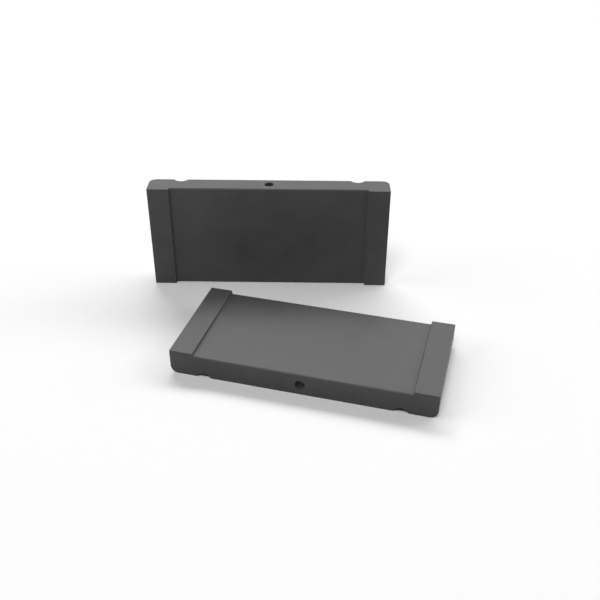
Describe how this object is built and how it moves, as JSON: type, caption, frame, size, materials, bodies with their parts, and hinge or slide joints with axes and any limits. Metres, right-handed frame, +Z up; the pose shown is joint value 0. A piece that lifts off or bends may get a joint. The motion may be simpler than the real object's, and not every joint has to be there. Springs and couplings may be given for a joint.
{
  "type": "flat cable ferrite core",
  "caption": "Split ferrite core for flat ribbon cable, open: matching plates with end lips around a shallow cable channel, clip grooves outside and a dimple in each long side.",
  "frame": {"origin": "middle of the lower half's outer face, on the surface that the open core rests on", "axes": "+X across the cable along the lower half's length, +Y along the cable towards the standing half, +Z up"},
  "size_m": [0.0842, 0.0575, 0.0286],
  "materials": {
    "ferrite": "matte, sintered"
  },
  "bodies": {
    "root": {"lower_half": "ferrite", "upper_half": "ferrite"}
  },
  "joints": []
}
